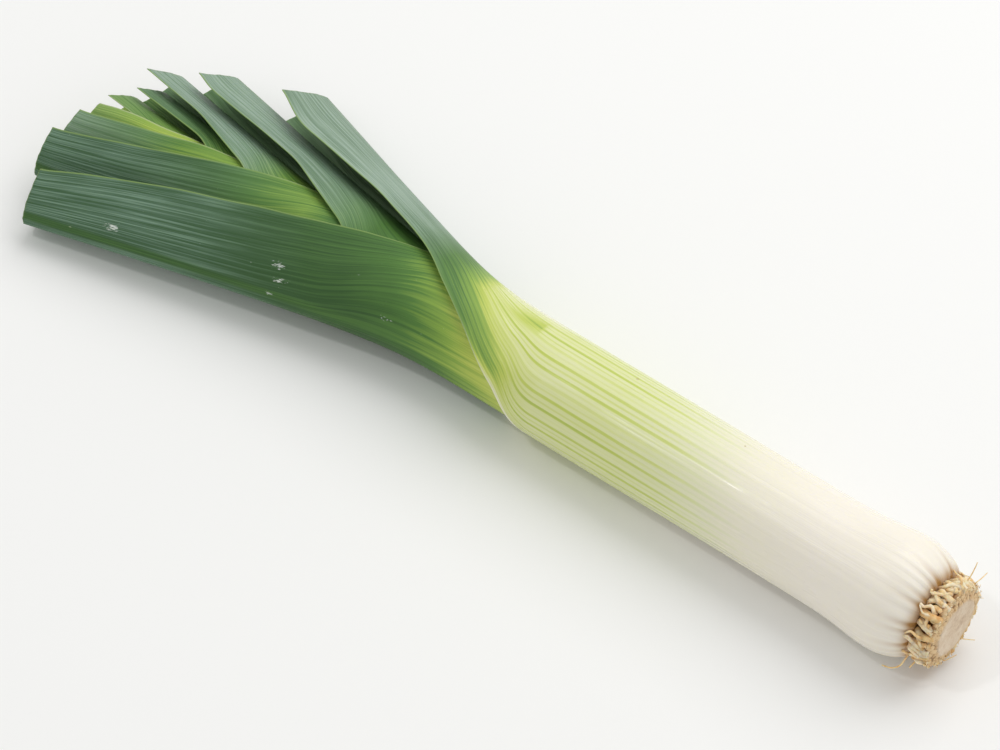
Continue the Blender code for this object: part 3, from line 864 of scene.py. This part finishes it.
def streaking(tree, ribs, lines, streaks, patches, greener):
    """What breaks the green up: ribs, lines, streaks and patches, each in its share, where it is green."""
    mixed = node(tree, "Math", {0: ribs, 1: 0.16}, operation="MULTIPLY")[0]
    for pattern, share in ((lines, 0.85), (streaks, 0.55), (patches, 0.6)):
        mixed = node(tree, "Math", {0: pattern, 1: share, 2: mixed}, operation="MULTIPLY_ADD")[0]
    return node(tree, "Math", {0: mixed, 1: greener}, operation="MULTIPLY")[0]


def leaf_green(tree, at, vein, mixed, greener):
    """The leaf's colour without wax. Veins show most in its pale green stretch and streaks where it is
    green. The inner face and the stripe beside the keel are a little paler."""
    in_pale = node(tree, "MapRange", {0: at["green"], 1: 0.04, 2: 0.26})[0]
    past_pale = node(tree, "MapRange", {0: at["green"], 1: 0.34, 2: 0.46, 3: 1.0, 4: 0.2})[0]
    shows = node(tree, "Math", {0: in_pale, 1: past_pale}, operation="MULTIPLY")[0]
    vein = node(tree, "Math", {0: vein, 1: shows}, operation="MULTIPLY")[0]
    stripe = node(tree, "MapRange", {0: at["from_stripe"], 1: 0.9, 2: 2.4, 3: -0.06, 4: 0.0})[0]
    amount = at["green"]
    for value, share in ((vein, 0.18), (mixed, 0.11), (at["inside"], -0.10), (stripe, greener)):
        amount = node(tree, "Math", {0: value, 1: share, 2: amount}, operation="MULTIPLY_ADD")[0]
    return node(tree, "ValToRGB", {0: amount}, stops=LEAF_GREENS)[0]


def with_bloom(tree, at, mixed, colour, is_pale_and_sheened):
    """The waxy bloom over a colour. It lies on the outer face of the green blade, in lines, and hardly on the
    stripe beside the keel, which looks darker for it. The paler, fuller bloom is the young leaves' own, and
    on the leaves with the keel on the +Y side it is partly painted sheen."""
    off_stripe = node(tree, "MapRange", {0: at["from_stripe"], 1: 0.9, 2: 2.4, 3: 0.05, 4: 1.0})[0]
    # More bloom on the paler leaves: partly painted sheen on those with the keel on the +Y side.
    worn = node(tree, "MapRange", {0: mixed, 1: -0.6, 2: 0.6, 3: 1.1, 4: 0.75 if is_pale_and_sheened else 0.3})[0]
    outside = node(tree, "MapRange", {0: at["inside"], 3: 1.0, 4: 0.35})[0]
    waxed = at["waxed"]
    for share in (off_stripe, worn, outside):
        waxed = node(tree, "Math", {0: waxed, 1: share}, operation="MULTIPLY")[0]
    # Paler bloom: the young leaves' own, and partly painted sheen on the leaves with the keel on the +Y side.
    deep, light = ("#79947D", "#98AD9C") if is_pale_and_sheened else ("#506E5B", "#76937D")
    tone = node(tree, "MapRange", {0: mixed, 1: -0.6, 2: 0.6})[0]
    bloom = node(tree, "ValToRGB", {0: tone}, stops=((0.1, light), (0.9, deep)))[0]
    return node(tree, "Mix", {0: waxed, 6: colour, 7: bloom}, data_type="RGBA")[2]


def with_cut_edge_and_margin_highlight(tree, at, colour):
    """A thin pale line over a colour: along the margins it is a painted highlight where they catch the light,
    and at the cut it is the paler cut tissue.
    """
    # Painted highlight along the margins.
    margin_highlight = node(tree, "MapRange", {0: at["from_margin"], 1: 0.2, 2: 0.75, 3: 0.8, 4: 0.0})[0]
    at_cut = node(tree, "MapRange", {0: at["from_tip"], 1: 0.05, 2: 0.5, 3: 0.45, 4: 0.0})[0]
    cut_edge_and_margin_highlight = node(tree, "Math", {0: margin_highlight, 1: at_cut}, operation="MAXIMUM")[0]
    edge_and_highlight_colour = node(tree, "ValToRGB", {0: at["green"]}, stops=((0.3, "#E4E4C6"), (0.8, "#86A25C")))[0]
    return node(tree, "Mix", {0: cut_edge_and_margin_highlight, 6: colour, 7: edge_and_highlight_colour}, data_type="RGBA")[2]


def with_marks(tree, at, place, colour):
    """Marks over a colour: tan staining where the leaf meets the roots, partly painted shade in the furrows
    between its pleats, small soft specks, and white flecks where the skin is scuffed."""
    # Tan staining at the base, with painted shade in the pleats' furrows.
    colour = node(tree, "Mix", {0: at["stain_and_shade"], 6: colour, 7: linear("#B0864F")}, data_type="RGBA")[2]
    cells = {"Vector": place, "Scale": 1 / (SPECK_SPACING * MM), "Randomness": 1.0}
    spot = node(tree, "TexVoronoi", cells, feature="F1")
    size = node(tree, "SeparateColor", {0: spot["Color"]})
    limit = node(tree, "MapRange", {0: size["Red"], 1: 0.7, 2: 1.0, 3: 0.0, 4: 0.08})[0]
    inner = node(tree, "Math", {0: limit, 1: 0.4}, operation="MULTIPLY")[0]
    speck = node(tree, "MapRange", {0: spot["Distance"], 1: inner, 2: limit, 3: 0.65, 4: 0.0})[0]
    speck_colour = node(tree, "ValToRGB", {0: at["green"]}, stops=((0.25, "#A98B58"), (0.6, "#C8D2B4")))[0]
    colour = node(tree, "Mix", {0: speck, 6: colour, 7: speck_colour}, data_type="RGBA")[2]
    flecks = along_veins(tree, place, FLECKS, detail=3.0)
    flecks = node(tree, "Math", {0: at["scuffed"], 1: 0.35, 2: flecks}, operation="MULTIPLY_ADD")[0]
    flecks = node(tree, "MapRange", {0: flecks, 1: 0.74, 2: 0.86, 4: 0.8})[0]
    return node(tree, "Mix", {0: flecks, 6: colour, 7: linear("#E6ECE4")}, data_type="RGBA")[2]


def leaf_relief(tree, place, comb, lines):
    """The low relief of the veins, of the lines between them and of the skin's grain."""
    height = node(tree, "Math", {0: lines, 1: 1.2, 2: comb}, operation="MULTIPLY_ADD")[0]
    grain = node(tree, "TexNoise", {"Vector": place, "Scale": 1 / (GRAIN_WIDTH * MM), "Detail": 2.0})[0]
    height = node(tree, "Math", {0: grain, 1: 0.5, 2: height}, operation="MULTIPLY_ADD")[0]
    return node(tree, "Bump", {"Strength": 0.25, "Distance": 0.1 * MM, "Height": height})[0]


def leaf_roughness(tree, at, streaks, patches):
    """A shine that comes and goes along the pale sheath, and a duller blade."""
    worn = node(tree, "Math", {0: patches, 1: 0.5, 2: streaks}, operation="MULTIPLY_ADD")[0]
    on_sheath = node(tree, "MapRange", {0: worn, 1: -0.35, 2: 0.25, 3: 0.2, 4: 0.48})[0]
    blade = node(tree, "MapRange", {0: at["green"], 1: 0.42, 2: 0.7})[0]
    return node(tree, "Mix", {0: blade, 2: on_sheath, 3: 0.52})[0]


def leaf_material(name, pale_bloom_and_sheen, shine):
    """Leek leaf: a cuticle of fine wax over parallel veins. It gives straight streaks along the leaf, a soft
    shine on the pale sheath, and a blue-grey bloom on the blade, paler on the young leaves and, as partly
    painted sheen, on the leaves with the keel on the +Y side."""
    material, tree, shader = new_material(name, {
        "Roughness": 0.4, "IOR": 1.42, "Specular IOR Level": shine,
        "Subsurface Weight": 0.15, "Subsurface Radius": (1.0, 1.0, 0.45), "Subsurface Scale": 2 * MM,
    })
    at = {value: node(tree, "Attribute", attribute_name=value)["Fac"] for value in LEAF_VALUES}
    place = node(tree, "Attribute", attribute_name="place")["Vector"]
    noises = (
        (along_veins(tree, place, LINES, roughness=0.6), 0.38, 0.62),
        (along_veins(tree, place, STREAKS), 0.3, 0.7),
        (along_veins(tree, place, PATCHES, detail=3.0), 0.3, 0.7),
    )
    lines, streaks, patches = (
        node(tree, "MapRange", {0: noise, 1: low, 2: high, 3: -0.5, 4: 0.5})[0] for noise, low, high in noises
    )
    comb, ribs, vein = leaf_veins(tree, place, streaks)
    greener = node(tree, "MapRange", {0: at["green"], 1: 0.1, 2: 0.75, 3: 0.0, 4: 1.0})[0]
    mixed = streaking(tree, ribs, lines, streaks, patches, greener)

    colour = leaf_green(tree, at, vein, mixed, greener)
    colour = with_bloom(tree, at, mixed, colour, pale_bloom_and_sheen)
    colour = with_cut_edge_and_margin_highlight(tree, at, colour)
    colour = with_marks(tree, at, place, colour)
    tree.links.new(colour, shader.inputs["Base Color"])
    tree.links.new(leaf_relief(tree, place, comb, lines), shader.inputs["Normal"])
    tree.links.new(leaf_roughness(tree, at, streaks, patches), shader.inputs["Roughness"])
    return material


def cut_face_material():
    """Sawn leek root plate: dense pale tissue with fine pores, ringed by the tan ends of cut roots, with
    brown where the surface dips between them."""
    material, tree, shader = new_material("sawn root plate", {"Roughness": 0.65, "IOR": 1.4})
    values = ("rim", "raised", "tone", "hidden")
    rim, raised, tone, hidden = (node(tree, "Attribute", attribute_name=value)["Fac"] for value in values)
    place = node(tree, "TexCoord")["Object"]
    flat = node(tree, "Mapping", {"Vector": place, "Scale": (0.4, 1, 1)})[0]
    look = {"Vector": flat, "Scale": 1 / (MOTTLE_WIDTH * MM), "Detail": 4.0, "Roughness": 0.6}
    mottle = node(tree, "TexNoise", look)[0]
    grain = node(tree, "TexNoise", {"Vector": flat, "Scale": 1 / (PORE_WIDTH * MM), "Detail": 2.0})[0]
    pores = node(tree, "Math", {0: grain, 1: 0.5, 2: mottle}, operation="MULTIPLY_ADD")[0]
    tissue = (0.5, "#CAB094"), (0.7, "#DDC6A9"), (0.95, "#E8D7C0")
    colour = node(tree, "ValToRGB", {0: pores}, stops=tissue)[0]
    lit = node(tree, "Math", {0: tone, 1: 0.35, 2: grain}, operation="MULTIPLY_ADD")[0]
    root = node(tree, "ValToRGB", {0: lit}, stops=((0.35, "#BC8D5A"), (0.8, "#E7C99B")))[0]
    dip = node(tree, "MapRange", {0: raised, 1: 0.02, 2: 0.3, 3: 0.75, 4: 0.0})[0]
    root = node(tree, "Mix", {0: dip, 6: root, 7: linear("#855D34")}, data_type="RGBA")[2]
    colour = node(tree, "Mix", {0: rim, 6: colour, 7: root}, data_type="RGBA")[2]
    colour = node(tree, "Mix", {0: hidden, 6: colour, 7: linear("#98693A")}, data_type="RGBA")[2]
    tree.links.new(colour, shader.inputs["Base Color"])
    bump = node(tree, "Bump", {"Strength": 0.6, "Distance": 0.3 * MM, "Height": pores})[0]
    tree.links.new(bump, shader.inputs["Normal"])
    return material


def root_material():
    """Cut leek roots, dried: straw to tan, brown where they come out, dull and slightly wrinkled."""
    material, tree, shader = new_material("dried roots", {
        "Roughness": 0.7, "IOR": 1.4,
        "Subsurface Weight": 0.45, "Subsurface Radius": (1.0, 0.72, 0.45), "Subsurface Scale": 1.8 * MM,
    })
    along, tone = (node(tree, "Attribute", attribute_name=value)["Fac"] for value in ("along", "tone"))
    place = node(tree, "TexCoord")["Object"]
    mottle = node(tree, "TexNoise", {"Vector": place, "Scale": 1 / (WRINKLE_WIDTH * MM), "Detail": 3.0})[0]
    mixed = node(tree, "Math", {0: tone, 1: 0.45, 2: mottle}, operation="MULTIPLY_ADD")[0]
    straw = (0.4, "#DBA96C"), (0.68, "#F1CE98"), (1.0, "#FBE9CB")
    colour = node(tree, "ValToRGB", {0: mixed}, stops=straw)[0]
    start = node(tree, "MapRange", {0: along, 1: 0.05, 2: 0.4, 3: 0.85, 4: 0.0})[0]
    colour = node(tree, "Mix", {0: start, 6: colour, 7: linear("#94652F")}, data_type="RGBA")[2]
    tree.links.new(colour, shader.inputs["Base Color"])
    bump = node(tree, "Bump", {"Strength": 0.7, "Distance": 0.3 * MM, "Height": mottle})[0]
    tree.links.new(bump, shader.inputs["Normal"])
    return material


def build_leek():
    """Makes every piece. The young leaves have the paler bloom of their own, and the leaves with the keel on
    the +Y side have it as partly painted sheen.
    """
    for i, leaf in enumerate(LEAVES):
        young = i >= FIRST_YOUNG_LEAF
        kind = "young leek leaf" if young else "leek leaf"
        shine = 0.5 if i == 0 else 0.3
        # The paler bloom of the leaves with the keel on the +Y side is partly painted sheen.
        leaf_piece(i, leaf_material(f"{kind} {i + 1}", leaf.side > 0 or young, shine))
    roots = root_material()
    cut_face_piece(cut_face_material())
    root_stubs_piece(roots)
    curled_stubs_piece(roots)
    rootlets_piece(roots)
    fibres_piece(roots)


def floor():
    """A plain pale table top of matt laminate, which shows the leek's soft shadow and no shine."""
    mesh = bpy.data.meshes.new("table")
    half = 4.0
    corners = [(-half, -half, 0), (half, -half, 0), (half, half, 0), (-half, half, 0)]
    mesh.from_pydata(corners, [], [(0, 1, 2, 3)])
    table = bpy.data.objects.new("table", mesh)
    bpy.context.scene.collection.objects.link(table)
    laminate = {"Roughness": 0.8, "IOR": 1.45, "Base Color": linear("#F4F4F2")}
    mesh.materials.append(new_material("white matt laminate", laminate)[0])


def area_light(name, place, size, power):
    """A soft square light at a place, aimed at the leek's middle."""
    light = bpy.data.lights.new(name, "AREA")
    light.size = size
    light.energy = power
    lamp = bpy.data.objects.new(name, light)
    bpy.context.scene.collection.objects.link(lamp)
    lamp.location = place
    lamp.rotation_mode = "QUATERNION"
    lamp.rotation_quaternion = (-Vector(place)).to_track_quat("-Z", "Y")


def studio():
    """Soft light from above and behind, a pale surround, and a small light that draws the shaft's shine."""
    area_light("window", place=(0.25, 1.1, 1.6), size=1.8, power=21)
    area_light("shine", place=(-0.44, -0.52, 1.35), size=0.1, power=2.0)
    world = bpy.data.worlds.new("studio")
    bpy.context.scene.world = world
    world.use_nodes = True
    background = world.node_tree.nodes["Background"]
    background.inputs["Color"].default_value = linear("#FFFFFF")
    background.inputs["Strength"].default_value = 0.60
    bpy.context.scene.view_settings.view_transform = "Standard"


def camera():
    """The camera, at the angle, distance and lens that the photograph's outline gives."""
    turn, rise = math.radians(CAMERA_AZIMUTH), math.radians(CAMERA_ELEVATION)
    back = Vector((math.sin(turn) * math.cos(rise), -math.cos(turn) * math.cos(rise), math.sin(rise)))
    right = Vector((math.cos(turn), math.sin(turn), 0))
    data = bpy.data.cameras.new("camera")
    data.sensor_width = 36
    data.lens = CAMERA_LENS
    data.clip_start = 0.01
    holder = bpy.data.objects.new("camera", data)
    bpy.context.scene.collection.objects.link(holder)
    matrix = Matrix((right, back.cross(right), back)).transposed().to_4x4()
    matrix.translation = Vector(CAMERA_TARGET) + back * CAMERA_DISTANCE
    holder.matrix_world = matrix
    bpy.context.scene.camera = holder


build_leek()
floor()
studio()
camera()
